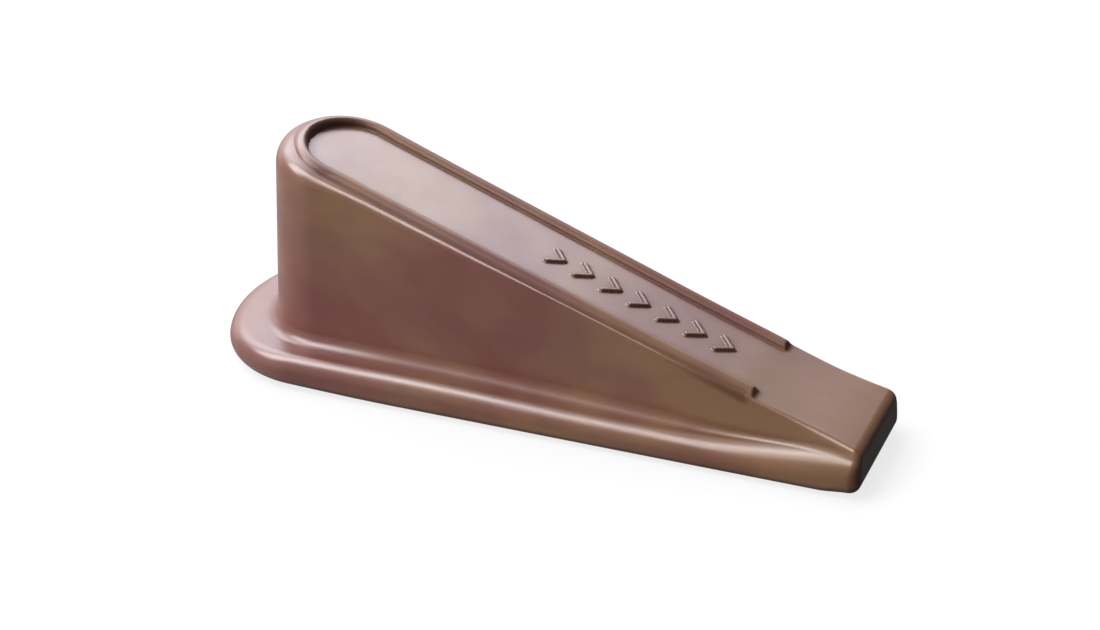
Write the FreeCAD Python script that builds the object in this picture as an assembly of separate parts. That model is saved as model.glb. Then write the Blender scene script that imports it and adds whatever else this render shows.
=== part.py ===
import FreeCAD, Part
import os
from math import cos, sin, pi, sqrt, tan, radians
from FreeCAD import Vector

# Wedge door stop, millimetres: a cored-out body, a sole set into its underside, five screws.
# +X runs along the wedge from the tall heel to the thin toe, +Z is up, z = 0 is the floor,
# x = 0 and y = 0 are the middle of the footprint.
# Places along the wedge are written as s, measured from the heel: x = s - LENGTH / 2.

# ---- flange -----------------------------------------------------------------
LENGTH = 140.0            # heel to toe
HEEL_HALF_WIDTH = 27.0    # half width where the heel curve runs into the side
TOE_HALF_WIDTH = 15.1
HEEL_DEPTH = 25.0         # length of the rounded heel
FLANGE_BACK_R = 34.0      # blunt back
FLANGE_CORNER_R = 20.0    # the two rear corners
TOE_CORNER_R = 2.6        # plan radius of the two toe corners
SOLE_PROUD = 0.5          # the sole stands this far below the body
FLANGE_TOP = 6.8          # height of the flange ledge
FLANGE_EDGE_R = 2.8       # rounding of the upper edge
FLANGE_FOOT_R = 0.7       # rounding of the lower edge

# ---- wedge ------------------------------------------------------------------
WEDGE_REAR = 9.8          # the wall starts this far in from the flange heel
WEDGE_BACK_R = 22.0       # blunt back of the wall at its foot
WEDGE_CORNER_R = 13.5
WEDGE_DRAFT = 3.0         # degrees that the walls lean in by; the toe end stays upright
WEDGE_SIDE_START = 25.2
WEDGE_HALF_HEEL = 18.6    # half width of the wall's foot at WEDGE_SIDE_START
FLARE_START = 118.5       # the sides change direction here and run on to the toe
WEDGE_HALF_FLARE = 13.0   # half width at FLARE_START
FLARE_HALF = 13.5         # half width at the toe
WEDGE_FOOT_Z = SOLE_PROUD + 0.9   # inside the flange
WEDGE_LOFT_TOP = 52.0     # above the highest point of the slope
SHOULDER_R = 1.6          # rounding of the heel's top edge
TOE_EDGE_R = 1.8
HEEL_HEIGHT = 47.2        # height of the slope at WEDGE_REAR
TOE_HEIGHT = 9.0          # height of the slope at the toe
SLOPE_SAG = 0.75          # the slope is hollow by this much at mid length

# ---- bead: raised U-shaped rim on the slope, and the tray inside it ----------
BEAD_R = 2.0              # half width of the bead
BEAD_HEIGHT = 1.25        # it stands this high
BEAD_ROOT = 1.2           # and reaches this far into the wedge
BEAD_BACK_R = 13.2        # outer edge of the bend
BEAD_CORNER_R = 8.8
BEAD_HALF_HEEL = 11.8     # centre line half spacing at the heel
BEAD_HALF_END = 10.15     # and at the open ends
BEAD_BEND = 25.2          # where the heel bend starts
BEAD_BEND_DEPTH = 8.8
BEAD_END = 117.0          # square cut ends
TRAY_DEPTH = 0.6          # depth at the heel, running out to nothing
TRAY_END = 45.0

# ---- chevrons: raised on the slope, pointing to the toe ----------------------
CHEVRON_COUNT = 7
CHEVRON_FIRST = 69.5
CHEVRON_PITCH = 6.0
CHEVRON_HALF_WIDTH = 3.0  # across the wedge
CHEVRON_LENGTH = 2.6      # sweep from arm end to point
CHEVRON_STROKE = 1.35     # arm thickness along the wedge
CHEVRON_RAISE = 0.55
CHEVRON_ROOT = 4.0        # depth of the foot below the slope
CHEVRON_BLANK = 12.0      # height before trimming

# ---- underside --------------------------------------------------------------
WALL = 3.2                # wall of the cored-out body
ROOF = WALL + 1.2         # thickness left under the slope
CORE_END = 112.0          # outer face of the core's toe wall
CORE_LOFT_TOP = 50.0
RIB = 2.0                 # stiffening ribs inside the body
RIB_S = [44.0, 62.0, 94.0, 108.0]
SOLE_T = 3.0              # thickness of the sole
CORE_Z = SOLE_T - 0.2     # the core starts just inside the sole's rebate
SOLE_INSET = 3.8          # rim of the flange that hides the sole's edge
SOLE_GAP = 0.15           # clearance all round the sole
SOLE_EDGE_R = 0.5
GROOVE_W = 2.0
GROOVE_DEPTH = 1.3
GROOVE_PITCH = 5.5
GROOVE_END_GAP = 9.0      # no groove centre nearer to the heel or toe than this
GROOVE_SIDE_GAP = 2.8
GROOVE_MIN_RUN = 3.0      # shorter pieces are left out
HEEL_POWER = 2.3          # superellipse that limits the grooves in the rounded heel

# ---- screws, driven upwards ---------------------------------------------------
SCREW_HEAD_R = 2.75
SCREW_SHANK_R = 1.3
SCREW_TIP_R = 0.45
SCREW_TIP_LENGTH = 1.0
SCREW_TIP_Z = 11.5        # highest point of a screw
SCREW_TOE_TIP_Z = 7.4
HEAD_RECESS = 1.1         # the heads are sunk this far above the floor
HEAD_LIFT = 0.05          # gap between the recess and the head
HEAD_RIM = 0.3            # top of the head's straight rim, above HEAD_RECESS
HEAD_CONE_TOP = 1.75      # top of the head's cone
SHANK_START = 1.0         # the shank starts inside the cone
SEAT_CONE = 1.6           # height of the sole's countersink
SEAT_GAP = 0.2            # radial clearance of the seat
PILOT_GAP = 0.05          # radial clearance of the hole in the body
PILOT_OVER = 0.6          # the hole ends this far above the screw tip
CROSS_LENGTH = 1.45       # half length of the cross recess arms
CROSS_WIDTH = 0.32        # half width of the arms
CROSS_DEPTH = 1.0
SEAT_LAND = 1.6           # ungrooved ring round each head
BOSS_R = 3.6
# s, y, height of the tip
SCREWS = [(28.0, 9.0, SCREW_TIP_Z), (28.0, -9.0, SCREW_TIP_Z),
          (78.0, 6.5, SCREW_TIP_Z), (78.0, -6.5, SCREW_TIP_Z),
          (122.5, 0.0, SCREW_TOE_TIP_Z)]

# ---- cutting tools -------------------------------------------------------------
MARGIN = 5.0              # overrun of cutters along the wedge
BEAD_TOOL_S = 5.0         # start of the slope tools used on the bead and tray
BEAD_TOOL_Z = 5.0
TRAY_TOOL_Z = 8.0
PLAN_TOOL_H = 60.0        # height of plan-shaped tools
SLOPE_TOOL_TOP = 90.0
SLOPE_TOOL_HALF = 60.0
KEEP_TOP = 80.0           # top of the rib and boss blanks
CUT_OVER = 1.0            # overrun of cutters in height


def x_of(s):
    return s - LENGTH / 2.0


TOE_X = x_of(LENGTH)


def outline(rear, r_back, r_corner, line, s_end, y_end, inset, z):
    """Closed plan outline: blunt back arc, tighter corner arcs, straight sides, square end.

    line = ((s, y), (s, y)) is the +Y side; y_end is the half width at s_end, or None to
    stay on the line. inset moves the walls inwards; with y_end given, the end stays put.
    """
    (s_a, y_a), (s_b, y_b) = line
    run_s, run_y = s_b - s_a, y_b - y_a
    run = sqrt(run_s * run_s + run_y * run_y)
    normal_s, normal_y = -run_y / run, run_s / run    # outward normal of the +Y side
    offset = normal_s * s_a + normal_y * y_a
    back_s = rear + r_back                            # centre of the back arc
    r_diff = r_back - r_corner

    # Bisect for the angle at which the corner arc also touches the side.
    low, high = 0.0, pi / 2
    for _ in range(60):
        angle = (low + high) / 2
        reach = normal_s * (back_s - r_diff * cos(angle)) + normal_y * r_diff * sin(angle)
        if reach < offset - r_corner:
            low = angle
        else:
            high = angle
    corner_s, corner_y = back_s - r_diff * cos(angle), r_diff * sin(angle)
    r_back_in, r_corner_in = r_back - inset, r_corner - inset

    # Arc ends, and the middle of the corner arc halfway between their directions.
    back_end = (back_s - r_back_in * cos(angle), r_back_in * sin(angle))
    corner_end = (corner_s + r_corner_in * normal_s, corner_y + r_corner_in * normal_y)
    mid_s, mid_y = -cos(angle) + normal_s, sin(angle) + normal_y
    mid_length = sqrt(mid_s * mid_s + mid_y * mid_y)
    corner_mid = (corner_s + r_corner_in * mid_s / mid_length,
                  corner_y + r_corner_in * mid_y / mid_length)

    if y_end is None:
        end_s = s_end - inset
        along = (end_s - corner_end[0]) / run_s
        side = [corner_end, (end_s, corner_end[1] + run_y * along)]
    else:
        side = [corner_end, (s_b - normal_s * inset, y_b - normal_y * inset),
                (s_end, y_end - inset)]

    def point(place):
        return Vector(x_of(place[0]), place[1], z)

    def mirrored(place):
        return (place[0], -place[1])

    def arc(*places):
        return Part.Arc(*[point(place) for place in places]).toShape()

    edges = [arc(mirrored(back_end), (back_s - r_back_in, 0.0), back_end),
             arc(back_end, corner_mid, corner_end)]
    chain = side + [mirrored(place) for place in reversed(side)]
    for start, end in zip(chain[:-1], chain[1:]):
        edges.append(Part.makeLine(point(start), point(end)))
    edges.append(arc(mirrored(corner_end), mirrored(corner_mid), mirrored(back_end)))
    return Part.Wire(edges)


def flange_wire(inset, z):
    line = ((HEEL_DEPTH, HEEL_HALF_WIDTH), (LENGTH, TOE_HALF_WIDTH))
    return outline(0.0, FLANGE_BACK_R, FLANGE_CORNER_R, line, LENGTH, None, inset, z)


def wedge_wire(inset, z, s_end=LENGTH, y_end=FLARE_HALF):
    line = ((WEDGE_SIDE_START, WEDGE_HALF_HEEL), (FLARE_START, WEDGE_HALF_FLARE))
    return outline(WEDGE_REAR, WEDGE_BACK_R, WEDGE_CORNER_R, line, s_end, y_end, inset, z)


def bead_wire(inset, z, s_end):
    """Outer edge of the bead moved inwards by inset, but always ending at s_end."""
    line = ((BEAD_BEND, BEAD_HALF_HEEL + BEAD_R), (BEAD_END, BEAD_HALF_END + BEAD_R))
    return outline(BEAD_BEND - BEAD_BEND_DEPTH - BEAD_R, BEAD_BACK_R, BEAD_CORNER_R,
                   line, s_end + inset, None, inset, z)


def slope(s):
    """Height of the hollow slope."""
    t = (s - WEDGE_REAR) / (LENGTH - WEDGE_REAR)
    return HEEL_HEIGHT + (TOE_HEIGHT - HEEL_HEIGHT) * t - SLOPE_SAG * 4.0 * t * (1.0 - t)


def above(lift, s_start, s_end, end_lift=None):
    """Everything above the slope moved up by lift (end_lift at s_end)."""
    end_lift = lift if end_lift is None else end_lift
    s_mid = (s_start + s_end) / 2

    def point(s, z):
        return Vector(x_of(s), -SLOPE_TOOL_HALF, z)

    start = point(s_start, slope(s_start) + lift)
    middle = point(s_mid, slope(s_mid) + (lift + end_lift) / 2)
    end = point(s_end, slope(s_end) + end_lift)
    top_end, top_start = point(s_end, SLOPE_TOOL_TOP), point(s_start, SLOPE_TOOL_TOP)
    wire = Part.Wire([Part.Arc(start, middle, end).toShape(), Part.makeLine(end, top_end),
                      Part.makeLine(top_end, top_start), Part.makeLine(top_start, start)])
    return Part.Face(wire).extrude(Vector(0, 2 * SLOPE_TOOL_HALF, 0))


def prism(wire, height):
    return Part.Face(wire).extrude(Vector(0, 0, height))


def box(x0, x1, y0, y1, z0, z1):
    return Part.makeBox(x1 - x0, y1 - y0, z1 - z0, Vector(x0, y0, z0))


def cylinder(radius, s, y, z0, z1):
    return Part.makeCylinder(radius, z1 - z0, Vector(x_of(s), y, z0))


def cone(r_low, r_high, s, y, z0, z1):
    return Part.makeCone(r_low, r_high, z1 - z0, Vector(x_of(s), y, z0))


def lean(height):
    return height * tan(radians(WEDGE_DRAFT))


def fillet(shape, radius, pick):
    """Round the edges whose bounding boxes satisfy pick."""
    edges = [edge for edge in shape.Edges if pick(edge.BoundBox)]
    for r in (radius, radius * 0.6):
        # Guards against a radius that does not fit: try the smaller one, else stay sharp.
        try:
            rounded = shape.makeFillet(r, edges)
            if rounded.isValid() and rounded.Volume > 0.5 * shape.Volume:
                return rounded
        except Exception:
            pass
    return shape


def write(name, shape):
    if shape.ShapeType == "Compound" and len(shape.Solids) == 1:
        shape = shape.Solids[0]
    shape.exportStep(os.path.join("parts", name + ".step"))


def make_flange():
    """Tapered plate with a blunt round heel."""
    flange = prism(flange_wire(0.0, SOLE_PROUD), FLANGE_TOP - SOLE_PROUD)
    flange = fillet(flange, TOE_CORNER_R, lambda b: b.ZLength > 3.0 and b.XMin > TOE_X - 0.01)
    flange = fillet(flange, FLANGE_EDGE_R, lambda b: b.ZMin > FLANGE_TOP - 0.01)
    return fillet(flange, FLANGE_FOOT_R, lambda b: b.ZMax < SOLE_PROUD + 0.01)


def make_wedge():
    """Drafted walls under the hollow slope."""
    wedge = Part.makeLoft([wedge_wire(0.0, WEDGE_FOOT_Z),
                           wedge_wire(lean(WEDGE_LOFT_TOP - WEDGE_FOOT_Z), WEDGE_LOFT_TOP)],
                          True, True)
    wedge = wedge.cut(above(0.0, -MARGIN, LENGTH + MARGIN))
    wedge = fillet(wedge, TOE_EDGE_R,
                   lambda b: b.XMin > TOE_X - 0.3 and b.ZMin > 8.0 and b.YLength > 15.0)
    return fillet(wedge, SHOULDER_R,
                  lambda b: b.XMax < x_of(30.0) and b.ZLength < 8.0 and b.ZMin > 38.0)


def make_bead():
    inner = prism(bead_wire(2 * BEAD_R, BEAD_TOOL_Z, BEAD_END + MARGIN), PLAN_TOOL_H)
    bead = prism(bead_wire(0.0, BEAD_TOOL_Z, BEAD_END), PLAN_TOOL_H).cut(inner)
    bead = bead.cut(above(BEAD_HEIGHT, BEAD_TOOL_S, LENGTH))
    bead = bead.common(above(-BEAD_ROOT, BEAD_TOOL_S, LENGTH))
    # The long upper edges of both arms.
    return fillet(bead, BEAD_HEIGHT * 0.9,
                  lambda b: b.XLength > 60.0 and b.ZMax > 40.0 and
                  b.Center.z > slope(b.Center.x + LENGTH / 2) - 0.5)


def make_tray():
    """Cutter for the sunk panel inside the bead."""
    plan = prism(bead_wire(2 * BEAD_R, TRAY_TOOL_Z, TRAY_END), PLAN_TOOL_H)
    return plan.common(above(-TRAY_DEPTH, BEAD_TOOL_S, TRAY_END + 0.5, end_lift=0.0))


def add_chevrons(body):
    raised = above(CHEVRON_RAISE, 40.0, 125.0)
    for i in range(CHEVRON_COUNT):
        start = CHEVRON_FIRST + i * CHEVRON_PITCH
        notch = start + CHEVRON_LENGTH
        half = CHEVRON_HALF_WIDTH
        plan = [(start, -half), (start + CHEVRON_STROKE, -half), (notch + CHEVRON_STROKE, 0),
                (start + CHEVRON_STROKE, half), (start, half), (notch, 0)]
        points = [Vector(x_of(s), y, slope(start) - CHEVRON_ROOT) for s, y in plan]
        blank = prism(Part.makePolygon(points + [points[0]]), CHEVRON_BLANK)
        body = body.fuse(blank.cut(raised))
    return body


def make_core():
    """Cutter for the hollow inside, with the ribs and screw bosses left standing."""
    top_inset = WALL + lean(CORE_LOFT_TOP - CORE_Z)
    core = Part.makeLoft([wedge_wire(WALL, CORE_Z, CORE_END, None),
                          wedge_wire(top_inset, CORE_LOFT_TOP, CORE_END, None)], True, True)
    core = core.cut(above(-ROOF, -MARGIN, LENGTH + MARGIN))
    keep = [box(x_of(s) - RIB / 2, x_of(s) + RIB / 2, -40, 40, 0, KEEP_TOP) for s in RIB_S]
    keep.append(box(x_of(-10.0), x_of(160.0), -RIB / 2, RIB / 2, 0, KEEP_TOP))
    keep += [cylinder(BOSS_R, s, y, 0.0, KEEP_TOP) for s, y, _ in SCREWS]
    for solid in keep:
        core = core.cut(solid)
    return core


def make_body():
    body = make_flange().fuse(make_wedge())
    body = body.fuse(make_bead())
    body = body.cut(make_tray())
    body = add_chevrons(body)
    rebate = prism(flange_wire(SOLE_INSET, SOLE_PROUD - CUT_OVER),
                   SOLE_T - SOLE_PROUD + CUT_OVER)
    body = body.cut(rebate)
    body = body.cut(make_core())
    for s, y, tip in SCREWS:
        body = body.cut(cylinder(SCREW_SHANK_R + PILOT_GAP, s, y,
                                 SOLE_T - CUT_OVER, tip + PILOT_OVER))
    return body


def sole_half(s):
    """Approximate half width of the sole."""
    taper = (HEEL_HALF_WIDTH - TOE_HALF_WIDTH) / (LENGTH - HEEL_DEPTH)
    side = HEEL_HALF_WIDTH - taper * (s - HEEL_DEPTH)
    t = max(0.0, min(1.0, s / HEEL_DEPTH))
    return side * (1.0 - (1.0 - t) ** HEEL_POWER) ** (1 / HEEL_POWER) - SOLE_INSET - SOLE_GAP


def groove_cutters():
    """Cross grooves, interrupted round the screw heads."""
    cutters = []
    land = SCREW_HEAD_R + SEAT_LAND
    s = GROOVE_END_GAP
    while s < LENGTH - GROOVE_END_GAP:
        half = min(sole_half(s - GROOVE_W), sole_half(s + GROOVE_W)) - GROOVE_SIDE_GAP
        runs = [(-half, half)]
        for screw_s, screw_y, _ in SCREWS:
            if abs(screw_s - s) < land + GROOVE_W / 2:
                low, high = screw_y - land, screw_y + land
                runs = [run for y0, y1 in runs
                        for run in ((y0, min(y1, low)), (max(y0, high), y1))]
        cutters += [box(x_of(s) - GROOVE_W / 2, x_of(s) + GROOVE_W / 2, y0, y1,
                        -CUT_OVER, GROOVE_DEPTH)
                    for y0, y1 in runs if y1 - y0 > GROOVE_MIN_RUN]
        s += GROOVE_PITCH
    return cutters


def seat_cutter(s, y):
    """Countersunk seat in the sole."""
    r_head, r_shank = SCREW_HEAD_R + SEAT_GAP, SCREW_SHANK_R + SEAT_GAP
    return cylinder(r_head, s, y, -CUT_OVER, HEAD_RECESS).fuse(
        [cone(r_head, r_shank, s, y, HEAD_RECESS, HEAD_RECESS + SEAT_CONE),
         cylinder(r_shank, s, y, HEAD_RECESS, SOLE_T + CUT_OVER)])


def make_sole():
    """Ribbed pad set into the underside."""
    sole = prism(flange_wire(SOLE_INSET + SOLE_GAP, 0.0), SOLE_T)
    sole = fillet(sole, SOLE_EDGE_R, lambda b: b.ZMax < 0.01)
    for cutter in groove_cutters() + [seat_cutter(s, y) for s, y, _ in SCREWS]:
        sole = sole.cut(cutter)
    return sole


def make_screw(s, y, tip):
    """Countersunk screw, head down, with a cross recess."""
    rim = HEAD_RECESS + HEAD_RIM
    tip_start = tip - SCREW_TIP_LENGTH
    screw = cylinder(SCREW_HEAD_R, s, y, HEAD_RECESS + HEAD_LIFT, rim).fuse(
        [cone(SCREW_HEAD_R, SCREW_SHANK_R, s, y, rim, HEAD_RECESS + HEAD_CONE_TOP),
         cylinder(SCREW_SHANK_R, s, y, HEAD_RECESS + SHANK_START, tip_start),
         cone(SCREW_SHANK_R, SCREW_TIP_R, s, y, tip_start, tip)])
    x = x_of(s)
    for dx, dy in ((CROSS_LENGTH, CROSS_WIDTH), (CROSS_WIDTH, CROSS_LENGTH)):
        screw = screw.cut(box(x - dx, x + dx, y - dy, y + dy,
                              HEAD_RECESS - CUT_OVER, HEAD_RECESS + CROSS_DEPTH))
    return screw.removeSplitter().Solids[0]


os.makedirs("parts", exist_ok=True)
write("wedge_body", make_body())
write("sole_pad", make_sole())
write("sole_screws", Part.makeCompound([make_screw(*screw) for screw in SCREWS]))
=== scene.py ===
"""Moulded brown door wedge on a rubber sole held by five screws.

The wedge lies along X, its thick heel at low X and its thin toe at high X. It is symmetric
about Y = 0 and its slope faces up (+Z). The moulding is worked out in millimetres, with s the
distance from the heel along X; everything else is in metres.
"""
import itertools
import math
import bpy
import numpy as np
from mathutils import Vector, Matrix


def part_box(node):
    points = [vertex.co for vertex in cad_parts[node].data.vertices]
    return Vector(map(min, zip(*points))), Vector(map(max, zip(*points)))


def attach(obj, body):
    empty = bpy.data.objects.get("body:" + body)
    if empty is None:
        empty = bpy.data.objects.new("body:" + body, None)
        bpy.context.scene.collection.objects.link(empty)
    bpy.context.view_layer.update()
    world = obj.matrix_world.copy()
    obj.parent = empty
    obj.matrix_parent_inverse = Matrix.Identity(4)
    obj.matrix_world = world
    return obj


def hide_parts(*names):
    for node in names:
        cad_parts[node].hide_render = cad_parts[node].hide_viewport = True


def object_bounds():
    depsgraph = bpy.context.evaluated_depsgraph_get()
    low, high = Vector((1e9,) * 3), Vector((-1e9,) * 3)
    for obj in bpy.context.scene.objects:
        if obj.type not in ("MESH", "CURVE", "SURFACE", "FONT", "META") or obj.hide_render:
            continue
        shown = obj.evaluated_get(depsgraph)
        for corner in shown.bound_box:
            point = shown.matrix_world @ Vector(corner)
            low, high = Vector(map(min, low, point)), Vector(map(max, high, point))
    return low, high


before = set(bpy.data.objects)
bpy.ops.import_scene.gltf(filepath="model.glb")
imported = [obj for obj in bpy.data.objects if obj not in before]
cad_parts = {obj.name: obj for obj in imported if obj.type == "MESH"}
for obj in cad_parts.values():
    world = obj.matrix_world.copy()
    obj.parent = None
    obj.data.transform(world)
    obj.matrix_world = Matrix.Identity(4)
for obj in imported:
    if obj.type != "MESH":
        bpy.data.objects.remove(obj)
cad_lo, cad_hi = [list(map(float, v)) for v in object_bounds()]

MM = 0.001
body_lo, body_hi = [np.array(v, float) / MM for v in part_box("wedge_body")]
sole_lo, sole_hi = [np.array(v, float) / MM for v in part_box("sole_pad")]
LENGTH = float(body_hi[0] - body_lo[0])
HEEL_X = float(body_lo[0])
UNDERSIDE = float(body_lo[2])           # the sole stands proud of it
SOLE_TOP = float(sole_hi[2])
SOLE_INSET = float(sole_lo[0] - body_lo[0]) - 0.15      # rebate's inset from the flange edge
SCALE = LENGTH / 140.0                  # plan outlines and slope are drawn for a 140 mm wedge

# Slope of the wedge
WEDGE_REAR = 9.8                        # s of the wedge's back, behind which only flange lies
HEEL_HEIGHT = 47.2
FALL = 0.305                            # drop per unit of length
SLOPE_COS = math.cos(math.atan(FALL))
WALL_FOOT = 6.6                         # height where the wall follows the foot outline

# U-shaped bead along the slope
BEAD_RADIUS = 2.05
BEAD_SUNK = 0.95                        # depth of the bead's centre below the slope
BEAD_END = 117.1

# Raised chevrons in a row, points towards the toe
CHEVRON_COUNT, CHEVRON_START, CHEVRON_PITCH = 7, 69.5, 6.0
CHEVRON_HALF_WIDTH, CHEVRON_LENGTH = 3.0, 2.6

# Hollow underside
RIBS = (44.0, 62.0, 94.0, 108.0)        # s of the cross ribs
RIB_HALF = 1.0                          # half thickness of every rib
BOSS_RADIUS, HOLE_RADIUS = 3.6, 1.35
# Screw holes: s, y, height of the hole's closed end
SCREWS = [(28.0, 9.0, 12.1), (28.0, -9.0, 12.1), (78.0, 6.5, 12.1), (78.0, -6.5, 12.1),
          (122.5, 0.0, 8.0)]

# Sides of the plan outlines: s, half width. The last point lies past the toe.
FLANGE_SIDE = [(26.0, 26.95), (140.0, 15.1), (152.0, 13.85)]
FOOT_SIDE = [(25.2, 18.75), (45.0, 17.0), (66.0, 15.05), (87.0, 13.6), (105.0, 13.0),
             (118.5, 12.75), (128.0, 12.8), (140.0, 13.2), (152.0, 13.8)]
CREST_SIDE = [(25.2, 15.75), (34.0, 14.90), (44.0, 14.50), (60.0, 14.05), (80.0, 13.35),
              (100.0, 12.8), (118.5, 12.15), (126.0, 12.1), (133.0, 12.6), (140.0, 13.5),
              (152.0, 14.9)]
BEAD_SIDE = [(25.2, 11.8), (44.0, 11.42), (80.0, 10.8), (115.0, 10.15), (152.0, 9.4)]

# Mesh grid spacing along s, y and z
GRID = np.array([0.55, 0.38, 0.38])
GRID_LO = np.array([-1.0, -29.5, UNDERSIDE - 1.0])
GRID_HI = np.array([LENGTH + 1.0, 29.5, 50.0])


# ---- plan outlines ----

def hermite(knot_x, knot_y, slopes, x):
    """Cubic curve through the knots with the given slopes."""
    i = np.clip(np.searchsorted(knot_x, x) - 1, 0, len(knot_x) - 2)
    h = knot_x[i + 1] - knot_x[i]
    t = (x - knot_x[i]) / h
    t2, t3 = t * t, t * t * t
    return ((2 * t3 - 3 * t2 + 1) * knot_y[i] + (t3 - 2 * t2 + t) * h * slopes[i]
            + (-2 * t3 + 3 * t2) * knot_y[i + 1] + (t3 - t2) * h * slopes[i + 1])


def outline(rear, back_radius, corner_radius, side):
    """Half outline: blunt back arc, tighter corner arc, then a smooth curve along the side."""
    start = np.array(side[0])
    along = np.array(side[1]) - start
    along /= np.linalg.norm(along)
    out = np.array([-along[1], along[0]])
    side_distance = out @ start
    back_centre = rear + back_radius
    spare = back_radius - corner_radius
    # Bisect for the angle where the corner arc touches the first stretch of the side
    low, high = 0.0, math.pi / 2
    for _ in range(60):
        turn = (low + high) / 2
        reach = out[0] * (back_centre - spare * math.cos(turn)) + out[1] * spare * math.sin(turn)
        if reach < side_distance - corner_radius:
            low = turn
        else:
            high = turn
    corner = np.array([back_centre - spare * math.cos(turn), spare * math.sin(turn)])
    t = np.linspace(0, turn, 160)
    back_arc = np.stack([back_centre - back_radius * np.cos(t), back_radius * np.sin(t)], 1)
    t = np.linspace(turn, math.pi - math.atan2(out[1], out[0]), 160)[1:]
    corner_arc = np.stack([corner[0] - corner_radius * np.cos(t),
                           corner[1] + corner_radius * np.sin(t)], 1)
    knots = np.array([list(corner_arc[-1])] + side[1:])
    middle = (knots[2:, 1] - knots[:-2, 1]) / (knots[2:, 0] - knots[:-2, 0])
    last = (knots[-1, 1] - knots[-2, 1]) / (knots[-1, 0] - knots[-2, 0])
    slopes = np.r_[along[1] / along[0], middle, last]
    s = np.linspace(knots[0, 0], knots[-1, 0], 900)[1:]
    flank = np.stack([s, hermite(knots[:, 0], knots[:, 1], slopes, s)], 1)
    return np.vstack([back_arc, corner_arc, flank]) * SCALE


def resample(points, step):
    run = np.r_[0, np.cumsum(np.hypot(*np.diff(points, axis=0).T))]
    t = np.linspace(0, run[-1], max(8, int(run[-1] / step)))
    return np.stack([np.interp(t, run, points[:, 0]), np.interp(t, run, points[:, 1])], 1)


class Plan:
    """Distance to a plan outline, positive outside, held on a fine grid of (s, |y|)."""
    STEP = 0.4
    BATCH = 6000        # grid points measured at a time, to save memory

    def __init__(self, points):
        line = resample(points, 0.12)
        tangent = np.gradient(line, axis=0)
        tangent /= np.linalg.norm(tangent, axis=1)[:, None]
        normal = np.stack([-tangent[:, 1], tangent[:, 0]], 1)
        self.s = np.arange(-8, LENGTH + 9, self.STEP)
        self.y = np.arange(0, 36, self.STEP)
        S, Y = np.meshgrid(self.s, self.y, indexing="ij")
        grid = np.stack([S.ravel(), Y.ravel()], 1)
        signed = np.empty(len(grid))
        for i in range(0, len(grid), self.BATCH):
            p = grid[i:i + self.BATCH]
            squared = ((p[:, None, 0] - line[None, :, 0]) ** 2
                       + (p[:, None, 1] - line[None, :, 1]) ** 2)
            j = squared.argmin(1)
            offset = p - line[j]
            along = (offset * tangent[j]).sum(1)
            across = (offset * normal[j]).sum(1)
            distance = np.where(np.abs(along) < 0.1, np.abs(across),
                                np.sqrt(squared[np.arange(len(p)), j]))
            signed[i:i + self.BATCH] = distance * np.where(across >= 0, 1.0, -1.0)
        self.distance = signed.reshape(S.shape)

    def __call__(self, s, y):
        at_s = np.clip((s - self.s[0]) / self.STEP, 0, len(self.s) - 1.001)
        at_y = np.clip(np.abs(y) / self.STEP, 0, len(self.y) - 1.001)
        i = at_s.astype(np.int32)
        j = at_y.astype(np.int32)
        a = at_s - i
        b = at_y - j
        D = self.distance
        return ((D[i, j] * (1 - a) + D[i + 1, j] * a) * (1 - b)
                + (D[i, j + 1] * (1 - a) + D[i + 1, j + 1] * a) * b)


flange_plan = Plan(outline(rear=0.0, back_radius=34.0, corner_radius=20.0, side=FLANGE_SIDE))
foot_plan = Plan(outline(rear=WEDGE_REAR, back_radius=22.0, corner_radius=13.0, side=FOOT_SIDE))
crest_plan = Plan(outline(rear=10.9, back_radius=21.0, corner_radius=11.8, side=CREST_SIDE))
bead_plan = Plan(outline(rear=16.2, back_radius=13.2, corner_radius=8.6, side=BEAD_SIDE))


# ---- the moulding as a distance field (negative inside), so that fillets run out softly ----

def ease(x):
    x = np.clip(x, 0, 1)
    return x * x * (3 - 2 * x)


def rise(value, start, over):
    """Ease from 0 at start to 1 a distance `over` further on."""
    return ease((value - start) / over)


def join(a, b, radius):
    """Union with a fillet."""
    u = np.maximum(radius - a, 0)
    v = np.maximum(radius - b, 0)
    return np.maximum(radius, np.minimum(a, b)) - np.sqrt(u * u + v * v)


def trim(a, b, radius):
    """Intersection with a rounded edge."""
    return -join(-a, -b, radius)


def segment_distance(px, py, ax, ay, bx, by):
    dx, dy = bx - ax, by - ay
    t = np.clip(((px - ax) * dx + (py - ay) * dy) / (dx * dx + dy * dy), 0, 1)
    return np.hypot(px - ax - t * dx, py - ay - t * dy)


def slope_height(s):
    """Height of the slope: straight, easing out towards the toe."""
    u = s / SCALE
    z = HEEL_HEIGHT - FALL * (u - WEDGE_REAR)
    past = np.maximum(u - 92.0, 0.0)
    dip = 0.12 * rise(u, 112.0, over=9.0) * ease((136.0 - u) / 12.0)
    return SCALE * (z + 0.00055 * past * past + 0.20 * rise(u, 122.0, over=18.0) - dip)


def ledge_height(s):
    """Height of the flange's upper face."""
    return 6.95 - 0.8 * rise(s, 45.0, over=50.0) + 2.75 * rise(s, 108.0, over=34.0)


def wedge_block(s, z, top_z, wall, bead_line, bead_inner):
    """Walled block under the slope, sunk slightly inside the bead at the heel."""
    tray = 0.55 * (1 - rise(s, 14.0, over=12.0)) * ease((-bead_inner + 0.15 - bead_line) / 0.3)
    top = (z - (top_z - tray)) * SLOPE_COS
    # The shoulder is roundest at the heel and opens again at the toe
    shoulder = (0.45 + 2.7 * (1 - rise(s, 12.0, over=19.0)) + 1.05 * (1 - rise(s, 40.0, over=40.0))
                + 0.8 * rise(s, 119.0, over=16.0))
    return trim(wall, top, shoulder)


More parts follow.
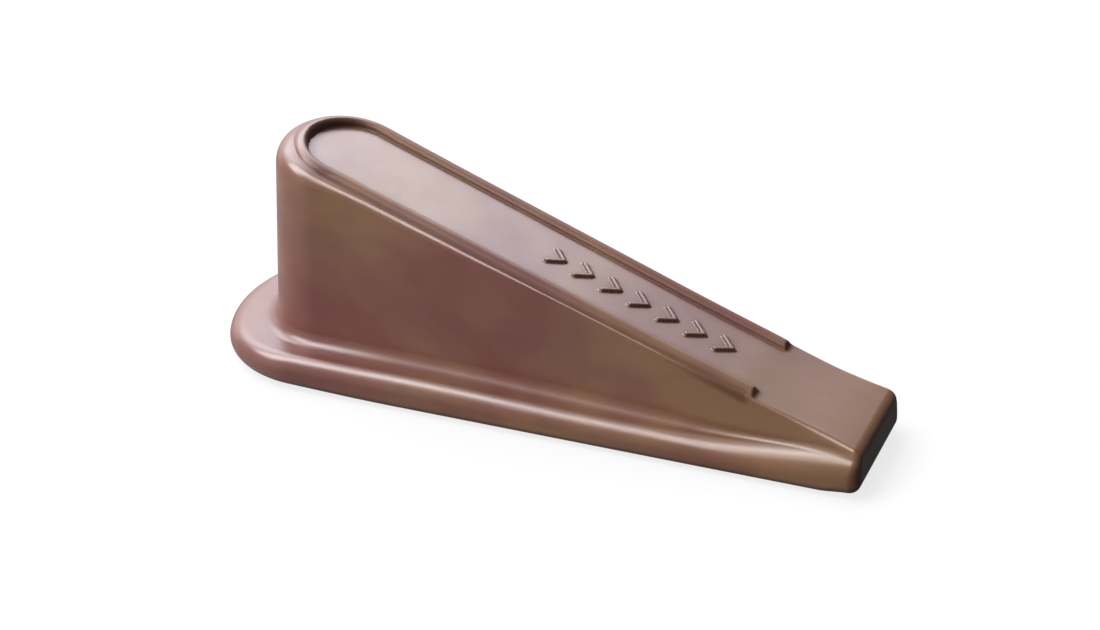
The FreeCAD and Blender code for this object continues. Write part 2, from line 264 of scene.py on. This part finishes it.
def raised_bead(s, z, top_z, bead_line, bead_inner):
    height = (z - (top_z - BEAD_SUNK)) * SLOPE_COS
    radius = BEAD_RADIUS + 0.12 * ease((46 - s) / 28)
    bead = np.sqrt(bead_line * bead_line + height * height) - radius
    bead = trim(bead, -bead_line - bead_inner, 0.8)
    leaning_end = ((s - BEAD_END) + 0.45 * (height - 1.2)) * 0.90
    return trim(bead, leaning_end, 0.3)


def add_chevrons(solid, s, y, z, top_z):
    """Join the chevrons to the solid in place, working only on the points near them."""
    end = CHEVRON_START + CHEVRON_COUNT * CHEVRON_PITCH
    near = ((s > CHEVRON_START - 3) & (s < end + 3)
            & (np.abs(y) < 5) & (np.abs(z - top_z) < 4))
    if not near.any():
        return
    s, y, height = s[near], np.abs(y[near]), z[near] - top_z[near]
    arms = np.full(s.shape, 9.0)
    for i in range(CHEVRON_COUNT):
        tail = CHEVRON_START + 0.75 + i * CHEVRON_PITCH
        arms = np.minimum(arms, segment_distance(s, y, tail, CHEVRON_HALF_WIDTH - 0.3,
                                                 tail + CHEVRON_LENGTH, 0.0))
    # Arms 0.50 to either side of their centre line, standing 0.55 above the slope
    marks = trim(arms - 0.50, height * SLOPE_COS - 0.55, 0.32)
    solid[near] = join(solid[near], marks, 0.22)


def underside_cuts(s, y, z, top_z, edge, wall):
    """Sole rebate, hollow core split by ribs and bosses, and screw holes."""
    rebate = np.maximum(trim(edge + SOLE_INSET, z - SOLE_TOP, 0.05), s - (LENGTH - SOLE_INSET))
    # The core leaves 3.2 of wall and 4.6 under the slope
    core = trim(trim(wall + 3.2, (z - top_z + 4.6) * SLOPE_COS, 1.0), s - 112.0, 0.5)
    core = np.maximum(core, RIB_HALF - np.abs(y))
    for rib in RIBS:
        core = np.maximum(core, RIB_HALF - np.abs(s - rib))
    holes = np.full(s.shape, 9.0)
    for screw_s, screw_y, screw_top in SCREWS:
        radius = np.hypot(s - screw_s, y - screw_y)
        core = np.maximum(core, BOSS_RADIUS - radius)
        holes = np.minimum(holes, np.maximum(radius - HOLE_RADIUS, z - screw_top))
    return np.minimum(np.minimum(rebate, core), holes)


def field(points):
    s, y, z = points[..., 0], points[..., 1], points[..., 2]
    top_z = slope_height(s)
    edge = flange_plan(s, y)
    flange = trim(edge, z - ledge_height(s), 3.1 + 1.7 * rise(s, 98.0, over=30.0))
    # The wall leans in from the foot outline to the crest outline
    lean = np.clip((z - WALL_FOOT) / np.maximum(top_z - WALL_FOOT, 2.0), -0.2, 1.15)
    wall = foot_plan(s, y) * (1.0 - lean) + crest_plan(s, y) * lean
    bead_line = bead_plan(s, y)
    # How far the bead reaches inwards from its centre line
    bead_inner = 0.60 + 1.35 * rise(s, 17.5, over=13.0)
    block = wedge_block(s, z, top_z, wall, bead_line, bead_inner)
    foot_fillet = 2.5 - 1.7 * rise(s, 92.0, over=34.0)
    solid = join(flange, block, foot_fillet)
    solid = join(solid, raised_bead(s, z, top_z, bead_line, bead_inner), 0.30)
    add_chevrons(solid, s, y, z, top_z)
    # Square toe leaning back a little, then the flat bottom, both with soft edges
    toe_edge = 1.7 + 0.7 * ease((7.2 - z) / 2.5)
    solid = trim(solid, (s - LENGTH + 0.10 * z) * 0.995, toe_edge)
    bottom_edge = 1.4 + 2.0 * (1 - rise(s, 2.0, over=45.0)) + 1.2 * ease((s - LENGTH + 8.0) / 6.0)
    solid = trim(solid, UNDERSIDE - z, bottom_edge)
    return np.maximum(solid, -underside_cuts(s, y, z, top_z, edge, wall))


# ---- meshing ----

WARP_S = np.linspace(-6.0, LENGTH + 6.0, 600)
WARP_TOP = np.minimum(slope_height(WARP_S), HEEL_HEIGHT)
WARP_WIDTH = np.interp(WARP_S, *zip(*BEAD_SIDE)) / BEAD_SIDE[0][1]
CORNERS = list(itertools.product((0, 1), repeat=3))


def warp(grid):
    """Grid coordinates to millimetres: rows run along the slope and the raised bead."""
    s = grid[..., 0]
    top_z = np.interp(s, WARP_S, WARP_TOP)
    return np.stack([s, grid[..., 1] * np.interp(s, WARP_S, WARP_WIDTH),
                     grid[..., 2] + top_z - HEEL_HEIGHT], -1)


def sample_field(lo, hi, step, slab=24):
    """Field on the warped grid, a slab of rows at a time."""
    n = np.ceil((hi - lo) / step).astype(int) + 1
    axes = [lo[k] + step[k] * np.arange(n[k]) for k in range(3)]
    values = np.empty(tuple(n), np.float32)
    for i in range(0, n[0], slab):
        block = np.meshgrid(axes[0][i:i + slab], axes[1], axes[2], indexing="ij")
        values[i:i + slab] = field(warp(np.stack(block, -1)))
    return values


def surface_nets(lo, hi, step):
    """Closed quad mesh of field = 0: a vertex in each crossed cell, a quad on each crossed edge."""
    values = sample_field(lo, hi, step)
    n = values.shape
    inside = values < 0
    count = sum(inside[a:n[0] - 1 + a, b:n[1] - 1 + b, c:n[2] - 1 + c].astype(np.int8)
                for a, b, c in CORNERS)
    active = (count > 0) & (count < 8)
    index = np.full(active.shape, -1, np.int64)
    cells = np.argwhere(active)
    index[active] = np.arange(len(cells))

    # Each vertex is the mean of the crossings on its cell's twelve edges
    total = np.zeros((len(cells), 3))
    crossings = np.zeros(len(cells))
    for a, b in itertools.combinations(map(np.array, CORNERS), 2):
        if np.abs(a - b).sum() != 1:
            continue
        value_a = values[tuple((cells + a).T)]
        value_b = values[tuple((cells + b).T)]
        crossed = (value_a < 0) != (value_b < 0)
        t = np.where(crossed, value_a / np.where(crossed, value_a - value_b, 1), 0)
        total += (a + (b - a) * t[:, None]) * crossed[:, None]
        crossings += crossed
    vertices = warp((cells + total / crossings[:, None]) * step + lo)

    quads = []
    for axis in range(3):
        others = [k for k in range(3) if k != axis]
        first = [slice(1, n[k] - 1) for k in range(3)]
        second = list(first)
        first[axis] = slice(0, n[axis] - 1)
        second[axis] = slice(1, n[axis])
        start, end = inside[tuple(first)], inside[tuple(second)]
        edges = np.argwhere(start != end)
        keep = start[tuple(edges.T)]
        if axis == 1:
            keep = ~keep
        edges[:, others] += 1
        ring = []
        for back in ((1, 1), (0, 1), (0, 0), (1, 0)):
            cell = edges.copy()
            cell[:, others] -= back
            ring.append(index[tuple(cell.T)])
        quad = np.stack(ring, 1)
        quad[~keep] = quad[~keep][:, ::-1]
        quads.append(quad)
    return vertices, np.vstack(quads)


def gradient(points, reach=0.03):
    result = np.empty_like(points)
    for k in range(3):
        ahead, behind = points.copy(), points.copy()
        ahead[:, k] += reach
        behind[:, k] -= reach
        result[:, k] = (field(ahead) - field(behind)) / (2 * reach)
    return result


def unit_normals(points, **options):
    normals = gradient(points, **options)
    return normals / np.maximum(np.linalg.norm(normals, axis=1), 1e-6)[:, None]


def project(points, rounds, longest=0.25):
    """Pull points onto the exact surface, no step longer than `longest`."""
    for _ in range(rounds):
        value = field(points)
        uphill = gradient(points)
        squared = np.maximum((uphill * uphill).sum(1), 0.2)
        step = -(value / squared)[:, None] * uphill
        size = np.linalg.norm(step, axis=1)
        step *= np.minimum(1, longest / np.maximum(size, 1e-9))[:, None]
        points = points + step
    return points


def relax(points, quads):
    """One step of tangential evening-out of the quads."""
    n = len(points)
    total = np.zeros((n, 3))
    count = np.zeros(n)
    for k in range(4):
        a, b = quads[:, k], quads[:, (k + 1) % 4]
        for own, other in ((a, b), (b, a)):
            for j in range(3):
                total[:, j] += np.bincount(own, points[other, j], n)
            count += np.bincount(own, minlength=n)
    shift = total / count[:, None] - points
    normals = unit_normals(points)
    shift -= (shift * normals).sum(1)[:, None] * normals
    return points + 0.5 * shift


def shade_and_dullness_masks(points):
    """Painted shade along the bead's outer foot, and dullness over the duller areas."""
    s, y, z = points.T
    height = (z - slope_height(s)) * SLOPE_COS
    bead_line = bead_plan(s, y)
    crest = crest_plan(s, y)
    foot = foot_plan(s, y)
    off_bead = np.hypot(bead_line, height + BEAD_SUNK) - BEAD_RADIUS

    # Painted shade: darkens the crease along the bead's outer foot, where little light reaches
    above = np.maximum(height, crest + 0.9)
    painted_crease_shade = np.where(off_bead < 0.12, ease(1.0 - np.maximum(above, 0) / 1.45),
                     ease(1.0 - (off_bead - 0.12) / 0.28))
    painted_crease_shade *= (rise(bead_line, 0.4, over=0.9) * (height > -2.6) * rise(s, 19.0, over=8.0)
              * ease((BEAD_END - s) / 2.0))

    # The hollow where the wall meets the flange
    hollow = np.hypot(np.maximum(foot, 0), np.maximum(z - ledge_height(s), 0))
    dull = ease((3.0 - hollow) / 1.6) * rise(s, 26.0, over=24.0) * (z > 4.8) * (foot > -1.0)
    dull *= 1 - rise(s, 104.0, over=18.0)
    # The rubbed bead: all of it on the +Y side, all but its inner flank on the other
    rubbed = np.where(y > 0, 1.0, ease((bead_line + 0.7) / 1.0)) * (off_bead < 0.35)
    rubbed = (rubbed * (height > -0.9) * rise(s, 17.0, over=10.0)
              * ease((BEAD_END + 0.6 - s) / 1.2))
    # The scuffed top of the toe
    scuffed = (0.50 * rise(s, 117.5, over=16.0) * (np.abs(height) < 1.5)
               * ease((-0.6 - crest) / 1.5))
    return {"painted_crease_shade": painted_crease_shade, "dull": np.maximum(np.maximum(dull, rubbed), scuffed)}


def build_moulding():
    points, quads = surface_nets(GRID_LO, GRID_HI, GRID)
    points = project(points, rounds=3)
    points = project(relax(points, quads), rounds=2)
    placed = points.copy()
    placed[:, 0] += HEEL_X
    mesh = bpy.data.meshes.new("wedge_moulding")
    mesh.from_pydata((placed * MM).tolist(), [], quads.tolist())
    mesh.update()
    mesh.polygons.foreach_set("use_smooth", np.ones(len(mesh.polygons), bool))
    mesh.validate()
    mesh.normals_split_custom_set_from_vertices(unit_normals(points, reach=0.06).tolist())
    for name, mask in shade_and_dullness_masks(points).items():
        attribute = mesh.attributes.new(name, "FLOAT", "POINT")
        attribute.data.foreach_set("value", mask.astype(np.float32))
    moulding = bpy.data.objects.new("wedge_moulding", mesh)
    bpy.context.scene.collection.objects.link(moulding)
    return moulding


# ---- shader helpers ----

def rgba(colour):
    """Opaque colour from an RGB triple or a single grey value."""
    return (*np.broadcast_to(colour, 3).tolist(), 1.0)


class Graph:
    def __init__(self, tree):
        self.tree = tree
        tree.nodes.clear()

    def put(self, socket, value):
        """Link a socket to the input, or set the input's value."""
        if isinstance(value, bpy.types.NodeSocket):
            self.tree.links.new(value, socket)
        else:
            socket.default_value = value

    def add(self, kind, inputs=None, **settings):
        node = self.tree.nodes.new("ShaderNode" + kind)
        for name, value in settings.items():
            setattr(node, name, value)
        for key, value in (inputs or {}).items():
            self.put(node.inputs[key], value)
        return node

    def math(self, operation, a, b):
        return self.add("Math", {0: a, 1: b}, operation=operation).outputs[0]

    def times(self, a, b):
        return self.math("MULTIPLY", a, b)

    def plus(self, a, b):
        return self.math("ADD", a, b)


class Material(Graph):
    def __init__(self, name):
        self.material = bpy.data.materials.new(name)
        self.material.use_nodes = True
        super().__init__(self.material.node_tree)
        self.output = self.add("OutputMaterial")
        self.shader = self.add("BsdfPrincipled")
        self.put(self.output.inputs[0], self.shader.outputs[0])
        self.position = self.add("TexCoord").outputs["Object"]

    def surface(self, inputs):
        for name, value in inputs.items():
            self.put(self.shader.inputs[name], value)

    def coords(self, scale=(1, 1, 1), rotation=(0, 0, 0)):
        return self.add("Mapping", {"Scale": scale, "Rotation": rotation,
                                    "Vector": self.position}).outputs["Vector"]

    def noise(self, scale, detail, roughness=0.5, distortion=0.0, vector=None):
        return self.add("TexNoise", {
            "Scale": scale, "Detail": detail, "Roughness": roughness,
            "Distortion": distortion, "Vector": vector or self.coords()}).outputs["Fac"]

    def ramp(self, factor, *stops):
        """Colour ramp; each stop is a position and a grey or RGB colour."""
        node = self.add("ValToRGB", {"Fac": factor})
        elements = node.color_ramp.elements
        while len(elements) > 1:
            elements.remove(elements[0])
        elements[0].position = stops[0][0]
        elements[0].color = rgba(stops[0][1])
        for position, colour in stops[1:]:
            elements.new(position).color = rgba(colour)
        return node.outputs["Color"]

    def tint(self, base, mask, amount, colour):
        """Lay a colour over the base where the mask is bright."""
        factor = self.times(mask, amount)
        return self.add("MixRGB", {0: factor, 1: base, 2: rgba(colour)}).outputs[0]

    def bump(self, height, strength, distance, normal=None):
        inputs = {"Strength": strength, "Distance": distance, "Height": height}
        if normal is not None:
            inputs["Normal"] = normal
        return self.add("Bump", inputs).outputs["Normal"]

    def attribute(self, name):
        return self.add("Attribute", attribute_name=name).outputs["Fac"]


# ---- materials ----

def moulded_brown():
    m = Material("moulded_brown")
    # Slow drift between a reddish and an olive brown
    drift = m.noise(scale=26.0, detail=3.0, distortion=0.6, vector=m.coords((1.0, 1.0, 1.6)))
    base = m.ramp(drift, (0.38, (0.138, 0.042, 0.031)), (0.50, (0.158, 0.063, 0.037)),
                  (0.60, (0.192, 0.096, 0.043)))
    cloud = m.noise(scale=75.0, detail=5.0, roughness=0.55, distortion=0.3)
    base = m.tint(base, m.ramp(cloud, (0.35, 0), (0.75, 1)), 0.28, (0.205, 0.104, 0.074))
    # Faint flow streaks along the length
    flow = m.noise(scale=60.0, detail=4.0, roughness=0.6, distortion=1.2,
                   vector=m.coords((0.35, 2.6, 2.2), (0, 0.28, 0)))
    base = m.tint(base, m.ramp(flow, (0.45, 0), (0.70, 1)), 0.16, (0.09, 0.045, 0.036))
    # Tiny pale specks, in some places only
    cell = m.add("TexVoronoi", {"Scale": 330.0, "Vector": m.coords()}, feature="F1")
    speck = m.ramp(cell.outputs["Distance"], (0.0, 1), (0.035, 1), (0.05, 0))
    speck = m.times(speck, m.ramp(m.noise(scale=150.0, detail=0.0), (0.66, 0), (0.70, 1)))
    base = m.tint(base, speck, 0.55, (0.50, 0.40, 0.32))
    # Worn, slightly paler convex edges
    pointiness = m.add("NewGeometry").outputs["Pointiness"]
    edge = m.ramp(pointiness, (0.505, 0), (0.56, 1))
    patches = m.noise(scale=180.0, detail=4.0, roughness=0.6)
    edge = m.times(edge, m.ramp(patches, (0.35, 0.2), (0.7, 1)))
    base = m.tint(base, edge, 0.22, (0.30, 0.19, 0.145))
    # Painted shade in the tight creases and along the bead's outer foot: the base colour is
    # darkened where ambient occlusion is low and where the bead-foot mask is set
    occlusion = m.add("AmbientOcclusion", {"Distance": 0.0024}, samples=3)
    crease = m.ramp(occlusion.outputs["AO"], (0.60, 1), (0.93, 0))
    crease = m.math("MAXIMUM", crease, m.times(m.attribute("painted_crease_shade"), 0.70))
    base = m.tint(base, crease, 0.80, (0.030, 0.014, 0.012))
    # Creases and dull areas reflect less
    dull = m.attribute("dull")
    specular = m.math("SUBTRACT", 1.0, m.times(crease, 0.85))
    specular = m.times(specular, m.math("SUBTRACT", 1.0, m.times(dull, 0.60)))
    # Satin skin with handling marks
    marks = m.noise(scale=55.0, detail=5.0, roughness=0.6, distortion=0.5)
    fine = m.noise(scale=420.0, detail=3.0, roughness=0.6)
    rough = m.plus(m.plus(m.times(marks, 0.16), m.times(fine, 0.06)), 0.21)
    rough = m.plus(rough, m.times(dull, 0.20))
    # Fine moulded grain, slow ripple, hairline scratches
    normal = m.bump(m.noise(scale=2600.0, detail=2.0), strength=0.10, distance=0.00004)
    ripple = m.noise(scale=95.0, detail=2.0, roughness=0.4, distortion=0.2)
    normal = m.bump(ripple, strength=0.35, distance=0.00022, normal=normal)
    streak = m.noise(scale=240.0, detail=2.0,
                     vector=m.coords((0.10, 2.4, 2.4), (0.0, 0.29, 0.35)))
    scratch = m.ramp(streak, (0.495, 0), (0.50, 1), (0.505, 0))
    scratch = m.times(scratch, m.ramp(m.noise(scale=30.0, detail=1.0), (0.55, 0), (0.62, 1)))
    normal = m.bump(scratch, strength=0.25, distance=0.00003, normal=normal)
    m.surface({"Base Color": base, "Specular IOR Level": specular, "Roughness": rough,
               "IOR": 1.52, "Coat Weight": 0.12, "Coat Roughness": 0.16, "Normal": normal})
    return m.material


def sole_rubber():
    m = Material("sole_rubber")
    cloud = m.noise(scale=90.0, detail=5.0, roughness=0.6)
    base = m.ramp(cloud, (0.3, (0.018, 0.012, 0.010)), (0.7, (0.040, 0.028, 0.023)))
    dust = m.ramp(m.noise(scale=35.0, detail=6.0, roughness=0.65), (0.5, 0), (0.8, 1))
    base = m.tint(base, dust, 0.35, (0.16, 0.14, 0.12))
    rough = m.plus(m.times(cloud, 0.2), 0.62)
    grain = m.noise(scale=1500.0, detail=3.0, roughness=0.6)
    m.surface({"Base Color": base, "Roughness": rough, "Sheen Weight": 0.15,
               "Normal": m.bump(grain, strength=0.5, distance=0.00006)})
    return m.material


def screw_zinc():
    m = Material("screw_zinc")
    cloud = m.noise(scale=400.0, detail=4.0, roughness=0.6)
    base = m.ramp(cloud, (0.3, (0.42, 0.41, 0.38)), (0.7, (0.62, 0.61, 0.57)))
    stain = m.ramp(m.noise(scale=900.0, detail=3.0, roughness=0.6), (0.58, 0), (0.8, 1))
    base = m.tint(base, stain, 0.5, (0.25, 0.19, 0.12))
    rough = m.plus(m.times(cloud, 0.25), 0.25)
    grain = m.noise(scale=2500.0, detail=2.0)
    m.surface({"Base Color": base, "Metallic": 1.0, "Roughness": rough,
               "Normal": m.bump(grain, strength=0.3, distance=0.00002)})
    return m.material


def floor_pale():
    """Pale matt surface, mostly glowing so that it stays evenly bright."""
    m = Material("floor_pale")
    base = m.ramp(m.noise(scale=3.0, detail=2.0), (0.2, 0.86), (0.8, 0.88))
    m.surface({"Base Color": base, "Roughness": 0.9, "Specular IOR Level": 0.1})
    glow = m.add("Emission", {"Strength": 0.98})
    both = m.add("MixShader", {0: 0.80, 1: m.shader.outputs[0], 2: glow.outputs[0]})
    m.put(m.output.inputs[0], both.outputs[0])
    return m.material


body = build_moulding()
body.data.materials.append(moulded_brown())
for name, material in (("sole_pad", sole_rubber()), ("sole_screws", screw_zinc())):
    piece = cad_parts[name]
    if not piece.material_slots:
        piece.data.materials.append(material)
    for slot in piece.material_slots:
        slot.material = material
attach(body, "root")
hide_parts("wedge_body")


# ---- floor, sky, lights and camera ----

def build_floor():
    bpy.ops.mesh.primitive_plane_add(size=6.0, location=(0, 0, float(cad_lo[2])))
    plane = bpy.context.object
    plane.name = "floor"
    plane.data.materials.append(floor_pale())
    # The glowing floor neither lights the wedge nor shows in it
    plane.visible_glossy = False
    plane.visible_diffuse = False
    return plane


def build_sky():
    """White to the camera; to everything else a dim sky with a bright window at -X, +Y."""
    world = bpy.data.worlds.new("studio")
    bpy.context.scene.world = world
    world.use_nodes = True
    sky = Graph(world.node_tree)

    def fade(value, start, end):
        """0 at start, 1 at end; start may be the larger."""
        rising = start < end
        return sky.add("MapRange", {
            "Value": value, "From Min": min(start, end), "From Max": max(start, end),
            "To Min": 0.0 if rising else 1.0, "To Max": 1.0 if rising else 0.0,
        }, interpolation_type="SMOOTHSTEP").outputs[0]

    direction = sky.add("TexCoord").outputs["Generated"]
    axes = sky.add("SeparateXYZ", {0: direction}).outputs
    towards = sky.add("VectorMath", {0: direction, 1: (-0.77, 0.58, 0.26)},
                      operation="DOT_PRODUCT")
    window = fade(towards.outputs["Value"], 0.53, 0.705)
    window = sky.times(window, fade(axes["Z"], -0.12, 0.10))
    upper = sky.times(fade(axes["Z"], 0.44, 0.54), 0.80)
    window = sky.times(window, sky.plus(0.20, upper))
    window = sky.times(window, fade(axes["Y"], -0.05, 0.30))
    ambient = sky.times(fade(axes["X"], 0.45, -0.80), 0.40)
    strength = sky.plus(sky.times(window, 4.8), sky.plus(ambient, 0.06))
    lighting = sky.add("Background", {0: (0.95, 0.925, 1.0, 1), 1: strength})
    backdrop = sky.add("Background", {0: rgba(0.97), 1: 1.0})
    seen = sky.add("LightPath").outputs["Is Camera Ray"]
    mixed = sky.add("MixShader", {0: seen, 1: lighting.outputs[0], 2: backdrop.outputs[0]})
    sky.add("OutputWorld", {0: mixed.outputs[0]})


def area_light(name, location, target, size, power, color):
    data = bpy.data.lights.new(name, "AREA")
    data.shape = "RECTANGLE"
    data.size, data.size_y = size
    data.energy = power
    data.color = color
    light = bpy.data.objects.new(name, data)
    light.location = location
    aim = Vector(target) - Vector(location)
    light.rotation_euler = aim.to_track_quat("-Z", "Y").to_euler()
    bpy.context.scene.collection.objects.link(light)
    return light


def build_camera(target, distance, azimuth, elevation, roll, lens):
    """Camera looking at the target; azimuth in degrees from -Y towards +X."""
    azimuth, elevation, roll = map(math.radians, (azimuth, elevation, roll))
    back = Vector((math.sin(azimuth) * math.cos(elevation),
                   -math.cos(azimuth) * math.cos(elevation), math.sin(elevation)))
    right = Vector((math.cos(azimuth), math.sin(azimuth), 0.0))
    up = back.cross(right)
    rolled_right = right * math.cos(roll) + up * math.sin(roll)
    rolled_up = -right * math.sin(roll) + up * math.cos(roll)
    data = bpy.data.cameras.new("camera")
    data.sensor_fit = "HORIZONTAL"
    data.sensor_width = 36.0
    data.lens = lens
    data.clip_start = 0.01
    data.clip_end = 50.0
    camera = bpy.data.objects.new("camera", data)
    pose = Matrix((rolled_right, rolled_up, back)).transposed().to_4x4()
    pose.translation = target + back * distance
    camera.matrix_world = pose
    bpy.context.scene.collection.objects.link(camera)
    bpy.context.scene.camera = camera


build_floor()
build_sky()
area_light("overhead", location=(-0.52, -0.24, 0.88), target=(0, 0, 0), size=(0.50, 0.80),
           power=9.5, color=(1.0, 0.97, 0.97))
strip = area_light("edge_strip", location=(0.00, -0.42, 0.87), target=(0, 0, 0),
                   size=(0.22, 0.60), power=3.2, color=(1.0, 0.97, 0.96))
strip.visible_diffuse = False
fill = area_light("front_fill", location=(-0.80, -1.05, 0.34), target=(0, 0, 0.02),
                  size=(0.9, 0.7), power=15.5, color=(1.0, 0.98, 0.93))
fill.visible_glossy = False
build_camera(target=Vector((0.00013, 0.0, 0.01547)), distance=0.36512,
             azimuth=23.47, elevation=27.86, roll=1.69, lens=59.265818)

view = bpy.context.scene.view_settings
view.view_transform = "Standard"
view.look = "None"
view.exposure = 0.0
view.gamma = 1.0
